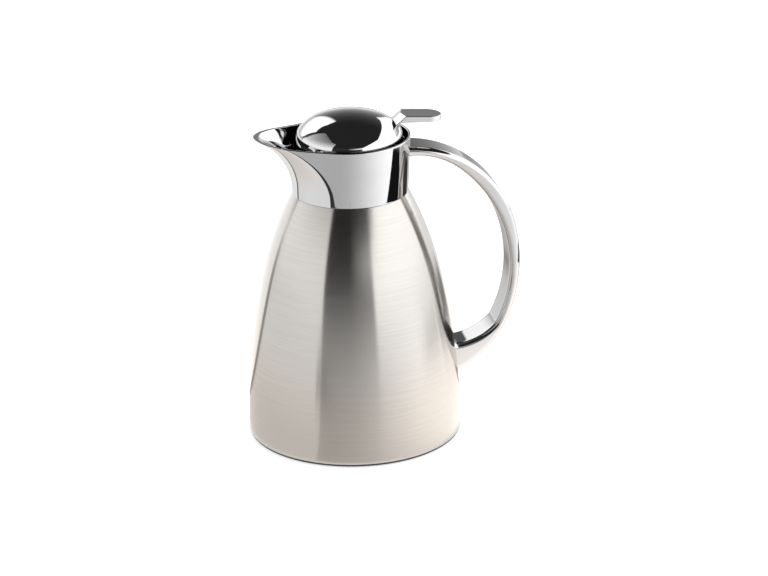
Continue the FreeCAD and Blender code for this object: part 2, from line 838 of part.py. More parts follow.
def handle():
    """Bow handle: two arc chains padded across, edges rounded, ends cut to the collar and shell."""
    body = new_body("handle")
    outer = arc_chain("outer", ["a", "b", "c"], "89")
    inner = arc_chain("inner", ["a", "b", "c", "d"], "94")
    root = at("cap_radius", outer[-1].y)
    heel = at("cap_radius", inner[-1].y)
    sketch = outline_sketch(body, outer + [root, heel] + reverse_chain(inner))
    extrude(body, sketch, "Pad", "handle_width")
    round_edges(body, arcs_of("outer", "abc"), "handle_outer_round")
    round_edges(body, arcs_of("inner", "abcd"), "handle_inner_round")
    gap = "-handle_joint_gap"
    turn(body, [
        at("0", "10"),
        at(shell_radius("10", gap), "10", arc="low_arc_radius + handle_joint_gap"),
        at(shell_radius("arc_join", gap), "arc_join", arc="high_arc_radius + handle_joint_gap"),
        at(shell_radius("shell_top", gap, "high"), "shell_top"),
        at(collar_radius("shell_top", gap), "shell_top"),
        at(collar_radius("collar_rim", gap), "collar_rim"),
        at("0", "collar_rim"),
    ], "Groove")
    for name in ("upper", "lower"):
        hole = circle_sketch(body, "0", f"{name}_screw_z", f"{name}_screw_radius + running_gap", "YZ_Plane")
        extrude(body, hole, "Pocket", f"{name}_screw_hole_end", midplane=False, reverse=True)
    return body


def handle_plate():
    """Stiffening plate that follows the inside of the shell behind the handle's lower root."""
    body = new_body("handle_plate")
    outside = "shell_wall + running_gap"
    inside = f"{outside} + plate_thickness"
    turn(body, [
        at(shell_radius("plate_bottom", outside), "plate_bottom", arc=f"low_arc_radius - ({outside})"),
        at(shell_radius("plate_top", outside), "plate_top"),
        at(shell_radius("plate_top", inside), "plate_top", arc=f"{inside} - low_arc_radius"),
        at(shell_radius("plate_bottom", inside), "plate_bottom"),
    ], angle="plate_angle")
    hole = circle_sketch(body, "0", "lower_screw_z", "lower_screw_radius + screw_clearance", "YZ_Plane")
    extrude(body, hole, "Pocket", "lower_screw_hole_end", midplane=False, reverse=True)
    return body


def handle_screws():
    """Each head's seat lies a little inside the curved wall it clamps."""
    seat = f"{shell_radius('lower_screw_z', 'shell_wall + running_gap + plate_thickness')} - 0.65"
    lower = screw("handle_lower_screw", "lower_screw_radius", "lower_screw_length", "2 * lower_screw_radius",
                  "lower_screw_radius", seat, "0", "lower_screw_z", Vector(1, 0, 0))
    wall = f"{collar_radius('upper_screw_z', 'collar_wall')} - 0.2"
    upper = screw("handle_upper_screw", "upper_screw_radius", "upper_screw_length", "2 * upper_screw_radius",
                  "upper_screw_radius", wall, "0", "upper_screw_z", Vector(1, 0, 0))
    return [lower, upper]


# Hinge -----------------------------------------------------------------------------------------------------


def hinge_pin():
    return cylinder("hinge_pin", "pin_radius", "pin_length", "hinge_x", "-pin_length / 2", "hinge_z",
                    Vector(0, 1, 0))


def lid_spring():
    """Torsion spring: two coils on the pin, each with a leg down the back of the funnel's ear gap."""
    pieces = []
    for name, side in (("left", -1), ("right", 1)):
        helix = doc.addObject("Part::Helix", f"spring_path_{name}")
        bind(helix, Pitch="spring_pitch", Height="spring_length", Radius="spring_radius")
        wire = doc.addObject("Part::Circle", f"spring_wire_{name}")
        bind(wire, Radius="spring_wire / 2", Placement__Base__x="spring_radius")
        wire.Placement.Rotation = Rotation(Vector(1, 0, 0), 90)
        coil = doc.addObject("Part::Sweep", f"spring_coil_{name}")
        coil.Sections = [wire]
        coil.Spine = (helix, [])
        coil.Solid = True
        coil.Frenet = True
        coil.Placement.Rotation = Rotation(Vector(1, 0, 0), -90 * side)
        bind(coil, Placement__Base__x="hinge_x", Placement__Base__y=f"{side} * spring_offset",
             Placement__Base__z="hinge_z")
        down = cylinder(f"spring_leg_down_{name}", "spring_wire / 2", "spring_leg",
                        "hinge_x + spring_radius", f"{side} * spring_offset", "hinge_z", Vector(0, 0, -1))
        pieces.append(fuse(f"spring_{name}", [coil, down]))
    return group("lid_spring", pieces)


# Lid -------------------------------------------------------------------------------------------------------


def dome_outline(inset, foot):
    """Half the dome's section: three tangent arcs, the last centred on the axis, and a small flat crown."""
    edge, side = "dome_edge_arc", "dome_side_arc"
    edge_x = f"(dome_radius - {edge})"
    side_x = f"({edge_x} + ({edge} - {side}) * cos(dome_edge_angle))"
    side_z = f"(dome_equator + ({edge} - {side}) * sin(dome_edge_angle))"
    crown = f"({side} + {side_x} / cos(dome_side_angle))"
    crown_z = f"({side_z} + ({side} - {crown}) * sin(dome_side_angle))"
    top = f"{crown_z} + sqrt(({crown} - {inset})^2 - crown_flat^2)"
    return [
        at("0", foot),
        at(f"dome_radius - {inset}", foot),
        at(f"dome_radius - {inset}", "dome_equator", arc=f"{edge} - {inset}"),
        at(f"{edge_x} + ({edge} - {inset}) * cos(dome_edge_angle)",
           f"dome_equator + ({edge} - {inset}) * sin(dome_edge_angle)", arc=f"{side} - {inset}"),
        at(f"{side_x} + ({side} - {inset}) * cos(dome_side_angle)",
           f"{side_z} + ({side} - {inset}) * sin(dome_side_angle)", arc=f"{crown} - {inset}"),
        at("crown_flat", top),
        at("0", top),
    ]


def lid_dome():
    """Domed cap with a short skirt, notched at the hinge and slotted for the lever's stem."""
    body = new_body("lid_dome")
    turn(body, dome_outline("0", "dome_equator - dome_skirt"))
    turn(body, dome_outline("dome_wall", "dome_equator - dome_skirt - 1"), "Groove")
    for bottom, top, width in (("dome_equator - dome_skirt - 1", "hinge_notch_top", "hinge_notch_width"),
                               ("stem_slot_bottom", "stem_slot_top", "stem_slot_width")):
        opening = outline_sketch(body, [
            at("lid_opening_start", bottom),
            at("lid_opening_end", bottom),
            at("lid_opening_end", top),
            at("lid_opening_start", top),
        ])
        extrude(body, opening, "Pocket", width)
    return body


def thumb_lever():
    """Paddle and ridged stem in one bent piece, with a foot that lies on the carrier under the dome."""
    body = new_body("thumb_lever")
    side = outline_sketch(body, [
        at("paddle_tip", "paddle_tip_top"),
        at("paddle_back", "paddle_back_top", round="1.2"),
        at("ridge_low_x", "ridge_low_z"),
        at("stem_heel", "foot_top", round="1"),
        at("foot_front", "foot_top"),
        at("foot_front", "carrier_top"),
        at("foot_back", "carrier_top"),
        at("stem_under_x", "stem_under_z", round="2"),
        at("paddle_under_x", "paddle_under_z", round="1.5"),
        at("paddle_tip", "paddle_tip_bottom"),
    ])
    extrude(body, side, "Pad", "2 * paddle_half_width")
    half = [
        at("foot_front - 1", "-foot_half_width"),
        at("stem_widens", "-foot_half_width"),
        at("stem_wide", "-paddle_half_width"),
        at("paddle_tip - paddle_half_width", "-paddle_half_width", arc="paddle_half_width + 0.001"),
        at("paddle_tip - paddle_half_width", "paddle_half_width"),
    ]
    mirrored = [at(c.x, c.y.replace("-", "", 1)) for c in half[:-2]][::-1]
    plan = new_sketch(body, "XY_Plane")
    Outline(plan, half + mirrored)
    Outline(plan, [
        at("foot_front - 5", "-2 * paddle_half_width"),
        at("paddle_tip + 5", "-2 * paddle_half_width"),
        at("paddle_tip + 5", "2 * paddle_half_width"),
        at("foot_front - 5", "2 * paddle_half_width"),
    ])
    extrude(body, plan, "Pocket", "paddle_back_top + 5", midplane=False, reverse=True)
    over_ridge = outline_sketch(body, [
        at("0", "0"),
        at("paddle_half_width", "-ridge_fall"),
        at("2 * paddle_half_width", "-2 * ridge_fall"),
        at("2 * paddle_half_width", "paddle_half_width"),
        at("-2 * paddle_half_width", "paddle_half_width"),
        at("-2 * paddle_half_width", "-2 * ridge_fall"),
    ], "YZ_Plane")
    up_the_ridge = Rotation(Vector(-1, 0, 0), value("ridge_slope"))
    over_ridge.AttachmentOffset = FreeCAD.Placement(Vector(), up_the_ridge)
    bind(over_ridge, AttachmentOffset__Base__y="ridge_low_z - ridge_run_in * sin(ridge_slope)",
         AttachmentOffset__Base__z="ridge_low_x - ridge_run_in * cos(ridge_slope)")
    extrude(body, over_ridge, "Pocket", "paddle_tip - ridge_low_x", midplane=False, reverse=True)
    for x in LEVER_SCREWS:
        hole = circle_sketch(body, x, "0", "small_screw_radius + running_gap", "XY_Plane")
        extrude(body, hole, "Pocket", "foot_top", midplane=False, reverse=True)
    return body


def lid_carrier():
    """Plate that snaps under the dome and carries the stopper, the lever and the hinge knuckle."""
    body = new_body("lid_carrier")
    turn(body, [
        at("0", "carrier_bottom"),
        at("carrier_radius", "carrier_bottom"),
        at("carrier_radius", "carrier_top"),
        at("0", "carrier_top"),
    ])
    for side in (-1, 1):
        low, high = sorted((f"{side} * hinge_notch_width / 2", f"{side} * knuckle_width / 2"), key=value)
        notch = outline_sketch(body, [
            at("knuckle_start", low),
            at("lid_opening_end", low),
            at("lid_opening_end", high),
            at("knuckle_start", high),
        ], "XY_Plane")
        extrude(body, notch, "Pocket", "carrier_top + 1", midplane=False, reverse=True)
    knuckle = outline_sketch(body, [
        at("lid_opening_start", "carrier_bottom"),
        at("hinge_x", "hinge_z - knuckle_radius", arc="knuckle_radius + 0.001"),
        at("hinge_x", "hinge_z + knuckle_radius"),
        at("knuckle_rise", "carrier_top"),
        at("lid_opening_start", "carrier_top"),
    ])
    extrude(body, knuckle, "Pad", "knuckle_width")
    bore = circle_sketch(body, "hinge_x", "hinge_z", "pin_radius + running_gap", "XZ_Plane")
    extrude(body, bore, "Pocket", "knuckle_width + 2")
    seat = circle_sketch(body, "-boss_circle", "0", "small_screw_radius + running_gap", "XY_Plane")
    first = extrude(body, seat, "Pocket", "carrier_top + 1", midplane=False, reverse=True)
    polar(body, first, STOPPER_SCREWS)
    for x in LEVER_SCREWS:
        seat = circle_sketch(body, x, "0", "small_screw_radius + running_gap", "XY_Plane")
        extrude(body, seat, "Pocket", "carrier_top + 1", midplane=False, reverse=True)
    return body


def stopper_plug():
    """Hollow stopper: nose in the orifice, groove for the seal, three screw bosses."""
    body = new_body("stopper_plug")
    wall = "plastic_wall"
    turn(body, [
        at("0", "stopper_bottom"),
        at("stopper_nose", "stopper_bottom", round="1"),
        at("stopper_nose", "seal_bottom"),
        at("seal_inner - running_gap", "seal_bottom"),
        at("seal_inner - running_gap", "seal_top + running_gap"),
        at("stopper_flange", "seal_top + running_gap"),
        at("stopper_flange", "seal_top + 1.5", round="0.5"),
        at("stopper_radius", "seal_top + 4"),
        at("stopper_radius", "carrier_bottom"),
        at(f"stopper_radius - {wall}", "carrier_bottom"),
        at(f"stopper_radius - {wall}", "seal_top + 4"),
        at(f"stopper_nose - {wall}", "seal_top"),
        at(f"stopper_nose - {wall}", f"stopper_bottom + {wall}", round="1"),
        at("0", f"stopper_bottom + {wall}"),
    ])
    boss = circle_sketch(body, "-boss_circle", "0", "boss_radius", "XY_Plane")
    bind(boss, AttachmentOffset__Base__z="stopper_bottom + plastic_wall / 2")
    pad = extrude(body, boss, "Pad", "carrier_bottom - stopper_bottom - plastic_wall / 2", midplane=False)
    polar(body, pad, STOPPER_SCREWS)
    pilot = circle_sketch(body, "-boss_circle", "0", "small_screw_radius + running_gap", "XY_Plane")
    bind(pilot, AttachmentOffset__Base__z="carrier_bottom")
    hole = extrude(body, pilot, "Pocket", "stopper_screw_length", midplane=False)
    polar(body, hole, STOPPER_SCREWS)
    return body


def stopper_seal():
    body = new_body("stopper_seal")
    turn(body, [
        at("seal_inner", "seal_bottom"),
        at("seal_outer", "seal_bottom", round="0.8"),
        at("seal_outer", "seal_top", round="0.8"),
        at("seal_inner", "seal_top"),
    ])
    return body


def stopper_screws():
    screws = []
    for i in range(STOPPER_SCREWS):
        angle = 180 + 360 * i / STOPPER_SCREWS
        screws.append(screw(f"stopper_screw_{i}", "small_screw_radius", "stopper_screw_length",
                            "stopper_screw_head", "small_screw_head_height", f"boss_circle * cos({angle})",
                            f"boss_circle * sin({angle})", "carrier_top", Vector(0, 0, -1)))
    return group("stopper_screws", screws)


def lever_screws():
    screws = [screw(x, "small_screw_radius", "lever_screw_length", "lever_screw_head",
                    "small_screw_head_height", x, "0", "foot_top", Vector(0, 0, -1))
              for x in LEVER_SCREWS]
    return group("lever_screws", screws)


# Build and write -------------------------------------------------------------------------------------------

nodes = [
    outer_shell(), foot_ring(), base_ring(), base_cap(),
    flask_outer_wall(), flask_inner_wall(), flask_spacers(),
    flask_cushion(), shoulder_cushion(), neck_gasket(),
    collar(), neck_funnel(), collar_nut(), handle(), handle_plate(), *handle_screws(),
    hinge_pin(), lid_spring(),
    lid_dome(), thumb_lever(), lid_carrier(),
    stopper_plug(), stopper_seal(), stopper_screws(), lever_screws(),
]
doc.recompute()

for item in doc.Objects:
    if {"Invalid", "Error"} & set(item.State):
        raise RuntimeError(f"{item.Label} did not build: {item.State}")
os.makedirs("parts", exist_ok=True)
for node in nodes:
    if node.Shape.isNull() or not node.Shape.isValid() or not node.Shape.Solids:
        raise RuntimeError(f"{node.Label} has no valid solid")
    node.Shape.exportStep(f"parts/{node.Label}.step")
    print(f"{node.Label:18s} solids {len(node.Shape.Solids)}  volume {node.Shape.Volume / 1000:8.2f} cm3")
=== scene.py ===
import json
import math

import bmesh
import bpy
from mathutils import Matrix, Vector


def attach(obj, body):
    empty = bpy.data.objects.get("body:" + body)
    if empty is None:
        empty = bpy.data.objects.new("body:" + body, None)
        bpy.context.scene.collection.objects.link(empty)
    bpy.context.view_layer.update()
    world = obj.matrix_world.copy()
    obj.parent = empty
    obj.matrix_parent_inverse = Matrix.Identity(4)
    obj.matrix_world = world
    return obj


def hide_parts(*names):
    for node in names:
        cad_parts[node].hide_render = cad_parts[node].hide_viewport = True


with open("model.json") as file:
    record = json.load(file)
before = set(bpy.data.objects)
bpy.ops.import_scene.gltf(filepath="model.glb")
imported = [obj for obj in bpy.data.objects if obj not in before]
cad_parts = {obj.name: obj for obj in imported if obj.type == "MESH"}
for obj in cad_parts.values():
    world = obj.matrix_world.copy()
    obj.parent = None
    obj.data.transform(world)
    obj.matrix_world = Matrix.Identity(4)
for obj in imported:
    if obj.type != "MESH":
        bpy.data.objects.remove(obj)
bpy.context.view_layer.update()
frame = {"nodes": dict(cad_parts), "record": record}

MM = 0.001
TAU = 2 * math.pi

# Sizes in millimetres, as the CAD part has them, with two exceptions in the handle. Its inner rounding is 1.5
# in the CAD. The tail of its inner line runs level in the CAD, to (52.0, 55.7), and rises here, which leaves
# a folded flap on top of the lower root.

SHELL_FOOT, SHELL_JOIN, SHELL_TOP, SHELL_WALL = 2.0, 111.0, 165.3, 0.8
LOW_ARC = (-437.2, -1.81, 507.28)
HIGH_ARC = (-163.25, 60.68, 226.3)
NECK_HOLE = 30.9

COLLAR_FOOT_RADIUS, COLLAR_RIM_RADIUS, COLLAR_RIM, COLLAR_WALL = 37.5, 39.5, 202.7, 1.6
COLLAR_FLOOR, COLLAR_HOLE = 167.3, 30.6
SPOUT_ARC, SPOUT_TAPER = 43.8, 0.696
RISE_START, RISE_RADIUS = -22.0, 331.0
FLANK = math.acos(SPOUT_TAPER / (1 + SPOUT_TAPER))

DOME_EQUATOR, DOME_RADIUS, DOME_SKIRT, DOME_WALL = 201.1, 34.7, 1.7, 1.0
DOME_ARCS = ((9.6, 42.15), (26.5, 70.3))

HANDLE_HALF, HANDLE_OUTER_ROUND, HANDLE_INNER_ROUND = 12.0, 3.0, 3.5
HANDLE_OUTER = ((34.61, 120.21), 89.0, ((74.47, 12.58), (110.16, -17.28), (68.54, -72.0)))
HANDLE_INNER = ((39.31, 139.27), 94.0, ((48.86, 51.86), (87.75, -26.22), (9.85, -44.64), (39.37, -86.0)))
HANDLE_INNER_TAIL = (52.0, 99.98)

HINGE_NOTCH = ((24, -10.4, 195), (40, 10.4, 202.4))
STEM_SLOT = ((24, -9.05, 207.6), (40, 9.05, 211.3))

LEVER_FRONT, LEVER_TIP = 13.5, 60.3
LEVER_TOP_CORNERS = ((13.5, 204.4), (22.6, 204.4, 1.0), (24.6, 207.6, 0.4), (33.6, 215, 1.4), (60.4, 212.89))
LEVER_BOTTOM_CORNERS = ((13.5, 200.8), (26.5, 200.8), (27.6, 206.6, 2), (32.6, 210.65, 1.5), (60.4, 209.3))
LEVER_SIDE_CORNERS = ((13.5, 4.0), (23.2, 4.0, 0.6), (26.6, 8.7, 1.2), (51.6, 8.7))
PADDLE_CENTRE, PADDLE_RADIUS = 51.6, 8.7
STEM_HEEL, RIDGE_LOW, RIDGE_SLOPE, RIDGE_FALL = 23.3, (24.6, 207.6), 0.822, 0.23

# What only the visual model has, in millimetres: roundings of edges that the CAD leaves sharp, soft blends
# where surfaces meet, lattice margins, and how far the handle's roots sink into the collar and the shell.

SKIN_FOOT_ROUND, SKIN_SHOULDER_ROUND, SKIN_NECK_ROUND, SKIN_MARGIN = 0.3, 0.5, 0.25, 0.6
COLLAR_FOOT_ROUND, COLLAR_RIM_ROUND, COLLAR_FLOOR_ROUND, SPOUT_BLEND = 0.3, 0.55, 0.6, 0.4
DOME_FOOT_ROUND = 0.3
LEVER_ROUND, LEVER_LATTICE_INSET, RIDGE_BLEND = 0.45, 0.35, 0.2
COLLAR_BITE, SHELL_BITE = 0.5, 0.3


# Outlines --------------------------------------------------------------------------------------------------


def arc(centre, radius, start, end, steps):
    """Points along an arc, angles in degrees."""
    angles = (math.radians(start + (end - start) * i / steps) for i in range(steps + 1))
    return [Vector((centre[0] + radius * math.cos(a), centre[1] + radius * math.sin(a))) for a in angles]


def chain(centre, start, arcs, spacing=1.0):
    """Points along tangent arcs, each (radius, end angle)."""
    centre, points = Vector(centre), []
    for i, (radius, end) in enumerate(arcs):
        steps = max(4, round(radius * math.radians(abs(end - start)) / spacing))
        points += arc(centre, radius, start, end, steps)[1 if points else 0:]
        if i + 1 < len(arcs):
            turn = math.radians(end)
            centre = centre + (radius - arcs[i + 1][0]) * Vector((math.cos(turn), math.sin(turn)))
        start = end
    return points


def rounded(corners, steps=5):
    """A closed outline from (x, z) or (x, z, round) corners."""
    points = []
    for i, corner in enumerate(corners):
        here = Vector(corner[:2])
        if len(corner) == 2:
            points.append(here)
            continue
        back = (Vector(corners[i - 1][:2]) - here).normalized()
        ahead = (Vector(corners[(i + 1) % len(corners)][:2]) - here).normalized()
        half = back.angle(ahead) / 2
        centre = here + (back + ahead).normalized() * corner[2] / math.sin(half)
        reach = corner[2] / math.tan(half)
        first, last = here + back * reach - centre, here + ahead * reach - centre
        sweep = first.angle_signed(last)
        for k in range(steps + 1):
            turned = first.copy()
            turned.rotate(Matrix.Rotation(-sweep * k / steps, 2))
            points.append(centre + turned)
    return points


def shell_radius(z, inset=0.0):
    """Radius of the shell's outside, or of a wall that far inside it, at a height."""
    x, centre, radius = LOW_ARC if z <= SHELL_JOIN else HIGH_ARC
    return x + math.sqrt((radius - inset)**2 - (z - centre)**2)


def resample(points, count):
    """Points at equal spacing along a line, for reading at any share of its length."""
    lengths = [0.0]
    for a, b in zip(points, points[1:]):
        lengths.append(lengths[-1] + (b - a).length)
    out, k = [], 0
    for i in range(count + 1):
        at = lengths[-1] * i / count
        while k < len(points) - 2 and lengths[k + 1] < at:
            k += 1
        share = (at - lengths[k]) / (lengths[k + 1] - lengths[k])
        out.append(points[k].lerp(points[k + 1], min(max(share, 0), 1)))
    return out


# Meshes ----------------------------------------------------------------------------------------------------


def new_mesh(name, points, faces, unit=MM):
    mesh = bpy.data.meshes.new(name)
    mesh.from_pydata([Vector(p) * unit for p in points], [], faces)
    return mesh


def new_object(name, data):
    made = bpy.data.objects.new(name, data)
    bpy.context.scene.collection.objects.link(made)
    return made


def even_normals(target):
    """Shades the flats flat and leaves the turning of the light to the roundings."""
    weighted = target.modifiers.new("Even normals", "WEIGHTED_NORMAL")
    weighted.mode = "FACE_AREA"
    weighted.weight = 100
    weighted.keep_sharp = True


def piece(name, mesh_points, faces, body, material_slot, replaced):
    """A mesh piece that rides on a body, stands for CAD nodes and has soft shading over its roundings."""
    mesh = new_mesh(name, mesh_points, faces)
    mesh.validate()
    b = bmesh.new()
    b.from_mesh(mesh)
    bmesh.ops.remove_doubles(b, verts=b.verts, dist=2e-6)
    bmesh.ops.recalc_face_normals(b, faces=b.faces)
    b.to_mesh(mesh)
    b.free()
    mesh.polygons.foreach_set("use_smooth", [True] * len(mesh.polygons))
    mesh.set_sharp_from_angle(angle=math.radians(50))
    made = new_object(name, mesh)
    mesh.materials.append(MATERIALS[material_slot])
    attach(made, body)
    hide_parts(*replaced)
    even_normals(made)
    return made


def grid(rings, closed_ring=True, closed_rows=False, caps=False):
    """Vertices and quads of a lattice: rings of equal length, joined one to the next."""
    count, width = len(rings), len(rings[0])
    faces = []
    for i in range(count if closed_rows else count - 1):
        for j in range(width if closed_ring else width - 1):
            a, b = i * width, (i + 1) % count * width
            k = (j + 1) % width
            faces.append((a + j, a + k, b + k, b + j))
    if caps:
        faces += [tuple(range(width)), tuple(reversed(range((count - 1) * width, count * width)))]
    return [p for ring in rings for p in ring], faces


def lathe(outline, steps=320):
    """A closed (radius, z) outline turned about the Z axis."""
    rings = []
    for i in range(steps):
        c, s = math.cos(TAU * i / steps), math.sin(TAU * i / steps)
        rings.append([(p[0] * c, p[0] * s, p[1]) for p in outline])
    return grid(rings, closed_rows=True)


# Materials -------------------------------------------------------------------------------------------------


class Graph:
    """Adds nodes to a tree: inputs are numbers, colours or other nodes' outputs."""

    def __init__(self, tree):
        self.tree = tree
        tree.nodes.clear()

    def add(self, kind, values=None, **settings):
        node = self.tree.nodes.new(kind)
        for name, setting in settings.items():
            setattr(node, name, setting)
        for name, given in (values or {}).items():
            if isinstance(given, bpy.types.NodeSocket):
                self.tree.links.new(given, node.inputs[name])
            else:
                node.inputs[name].default_value = given
        return node

    def math(self, operation, *values):
        return self.add("ShaderNodeMath", dict(enumerate(values)), operation=operation).outputs[0]

    def fold(self, operation, first, *others):
        """One value from any number of them, taken two at a time from the left."""
        for other in others:
            first = self.math(operation, first, other)
        return first

    def product(self, *values):
        return self.fold("MULTIPLY", *values)

    def mix(self, share, first, second):
        return self.add("ShaderNodeMix", {0: share, 2: first, 3: second}).outputs[0]

    def ramp(self, given, low, high, to_low=0.0, to_high=1.0, smooth=True):
        values = {"Value": given, "From Min": low, "From Max": high, "To Min": to_low, "To Max": to_high}
        kind = "SMOOTHSTEP" if smooth else "LINEAR"
        return self.add("ShaderNodeMapRange", values, interpolation_type=kind).outputs["Result"]

    def dot(self, vector, direction):
        node = self.add("ShaderNodeVectorMath", {0: vector, 1: direction}, operation="DOT_PRODUCT")
        return node.outputs["Value"]

    def noise(self, scale, stretch=(1, 1, 1), detail=2.0):
        """Noise in object space; a stretch above one makes the pattern finer along that axis."""
        place = self.add("ShaderNodeTexCoord").outputs["Object"]
        mapped = self.add("ShaderNodeMapping", {"Vector": place, "Scale": stretch}).outputs["Vector"]
        values = {"Vector": mapped, "Scale": scale, "Detail": detail}
        return self.add("ShaderNodeTexNoise", values).outputs["Fac"]

    def tint(self, share, first, second):
        node = self.add("ShaderNodeMix", {0: share, 6: (*first, 1), 7: (*second, 1)}, data_type="RGBA")
        return node.outputs[2]

    def bump(self, height, distance, strength=1.0):
        values = {"Height": height, "Distance": distance, "Strength": strength}
        return self.add("ShaderNodeBump", values).outputs["Normal"]


def material(name, build):
    made = bpy.data.materials.new(name)
    made.use_nodes = True
    graph = Graph(made.node_tree)
    shader = graph.add("ShaderNodeBsdfPrincipled", build(graph))
    graph.add("ShaderNodeOutputMaterial", {"Surface": shader.outputs[0]})
    return made


def brushed_shell(g):
    """Satin steel: hair-fine grain round the body, broken into short strokes, with faint broad bands."""
    fine = g.noise(600, (0.05, 0.05, 14), 3)
    strokes = g.noise(160, (0.12, 0.12, 9), 2)
    bands = g.noise(14, (0.4, 0.4, 2.0), 3)
    smudge = g.noise(22, detail=4)
    grain = g.math("ADD", g.product(fine, 0.6), g.product(strokes, 0.4))
    around = g.add("ShaderNodeTangent", direction_type="RADIAL", axis="Z").outputs[0]
    return {
        "Base Color": g.tint(g.ramp(grain, 0.3, 0.7), (0.505, 0.485, 0.46), (0.55, 0.53, 0.505)),
        "Metallic": 1.0,
        "Roughness": g.math("ADD", g.ramp(bands, 0.3, 0.7, 0.18, 0.195), g.ramp(smudge, 0.55, 0.8, 0, 0.01)),
        "Anisotropic": 0.93,
        "Anisotropic Rotation": 0.25,
        "Tangent": around,
        "Normal": g.bump(grain, 0.000003, 0.5),
    }


def chrome(tone=0.62, rim=0.75):
    """Bright plating: very slight waviness and hairline polishing marks, greyer where it is seen edge-on."""
    def build(g):
        wave = g.noise(38, detail=1)
        hair = g.noise(420, (1, 1, 5), 4)
        worn = g.noise(60, detail=5)
        return {
            "Base Color": g.tint(g.ramp(worn, 0.35, 0.75), (tone, tone, tone * 1.01),
                                 (tone * 0.96, tone * 0.96, tone * 0.965)),
            "Metallic": 1.0,
            "Specular Tint": (rim, rim, rim, 1),
            "Roughness": g.ramp(hair, 0.45, 0.8, 0.025, 0.06),
            "Normal": g.bump(wave, 0.00002, 0.5),
        }
    return build


def plated_steel(g):
    """Dull zinc plating with a mottled grey bloom."""
    bloom = g.noise(300, detail=5)
    return {
        "Base Color": g.tint(g.ramp(bloom, 0.3, 0.7), (0.5, 0.49, 0.48), (0.66, 0.65, 0.63)),
        "Metallic": 1.0,
        "Roughness": g.ramp(bloom, 0.3, 0.7, 0.28, 0.42),
        "Normal": g.bump(g.noise(900, detail=3), 0.00002, 0.4),
    }


def plastic(dark, light, rough):
    """Moulded plastic: fine spark-eroded grain and a slightly polished look where it is handled."""
    def build(g):
        grain = g.noise(1400, detail=3)
        handled = g.noise(45, detail=3)
        return {
            "Base Color": g.tint(handled, dark, light),
            "Roughness": g.ramp(handled, 0.3, 0.7, rough, rough + 0.12),
            "Normal": g.bump(grain, 0.00004, 0.5),
        }
    return build


def rubber(dark, light):
    """Matt rubber with a dusty bloom and pitted skin."""
    def build(g):
        dust = g.noise(80, detail=5)
        pits = g.noise(2200, detail=4)
        return {
            "Base Color": g.tint(dust, dark, light),
            "Roughness": g.ramp(dust, 0.3, 0.7, 0.68, 0.85),
            "Normal": g.bump(pits, 0.00005, 0.6),
        }
    return build


def felt(g):
    """Pressed fibre pad."""
    fibres = g.noise(1500, (1, 3, 0.6), 6)
    return {
        "Base Color": g.tint(fibres, (0.36, 0.35, 0.33), (0.52, 0.51, 0.48)),
        "Roughness": 0.95,
        "Sheen Weight": 0.4,
        "Normal": g.bump(fibres, 0.0003, 0.8),
    }


def silicone(g):
    """Milky translucent silicone with a fine matt skin."""
    cloud = g.noise(70, detail=3)
    return {
        "Base Color": g.tint(cloud, (0.7, 0.69, 0.65), (0.8, 0.79, 0.75)),
        "Roughness": g.ramp(cloud, 0.3, 0.7, 0.35, 0.5),
        "Transmission Weight": 0.35,
        "IOR": 1.41,
        "Normal": g.bump(g.noise(1200, detail=2), 0.00003, 0.4),
    }


def silvered(g):
    """Blown glass with the silver behind it: mirror bright, with slow ripples in the glass."""
    ripple = g.noise(26, (1, 1, 0.5), 2)
    stain = g.noise(40, detail=4)
    return {
        "Base Color": g.tint(g.ramp(stain, 0.5, 0.8), (0.86, 0.87, 0.88), (0.74, 0.73, 0.68)),
        "Metallic": 1.0,
        "Roughness": g.ramp(stain, 0.4, 0.8, 0.04, 0.12),
        "Coat Weight": 0.6,
        "Coat Roughness": 0.02,
        "Normal": g.bump(ripple, 0.0003, 0.5),
    }


MATERIALS = {
    name: material(name, build) for name, build in {
        "brushed_shell": brushed_shell,
        "chrome_collar": chrome(),
        "chrome_handle": chrome(0.6, 0.5),
        "chrome_lid": chrome(),
        "chrome_lever": chrome(),
        "plain_steel": plated_steel,
        "black_plastic": plastic((0.012, 0.012, 0.013), (0.02, 0.02, 0.021), 0.32),
        "foot_rubber": rubber((0.012, 0.012, 0.012), (0.03, 0.03, 0.03)),
        "grey_rubber": rubber((0.2, 0.2, 0.21), (0.3, 0.3, 0.31)),
        "grey_pad": felt,
        "clear_silicone": silicone,
        "silvered_glass": silvered,
    }.items()
}

for part in frame["record"]["subparts"]:
    node = frame["nodes"][part["node"]]
    node.data.materials.clear()
    node.data.materials.append(MATERIALS[part["material_slot"]])


# Body shell ------------------------------------------------------------------------------------------------


def shell_outline(steps=110):
    """The pressed skin from its foot up to the flange that the collar clamps, and back down inside."""
    low, rise = SHELL_FOOT + SKIN_MARGIN, SHELL_TOP - SHELL_FOOT - 3 * SKIN_MARGIN
    heights = [low + rise * i / steps for i in range(steps + 1)]
    outside = [(shell_radius(z), z) for z in heights]
    inside = [(shell_radius(z, SHELL_WALL), z) for z in reversed(heights)]
    return rounded([
        (shell_radius(SHELL_FOOT), SHELL_FOOT, SKIN_FOOT_ROUND),
        *outside,
        (shell_radius(SHELL_TOP), SHELL_TOP, SKIN_SHOULDER_ROUND),
        (NECK_HOLE, SHELL_TOP, SKIN_NECK_ROUND),
        (NECK_HOLE, SHELL_TOP - SHELL_WALL, SKIN_NECK_ROUND),
        *inside,
        (shell_radius(SHELL_FOOT, SHELL_WALL), SHELL_FOOT, SKIN_FOOT_ROUND),
    ])


piece("shell_skin", *lathe(shell_outline()), "carafe", "brushed_shell", ["outer_shell"])


# Spout collar ----------------------------------------------------------------------------------------------


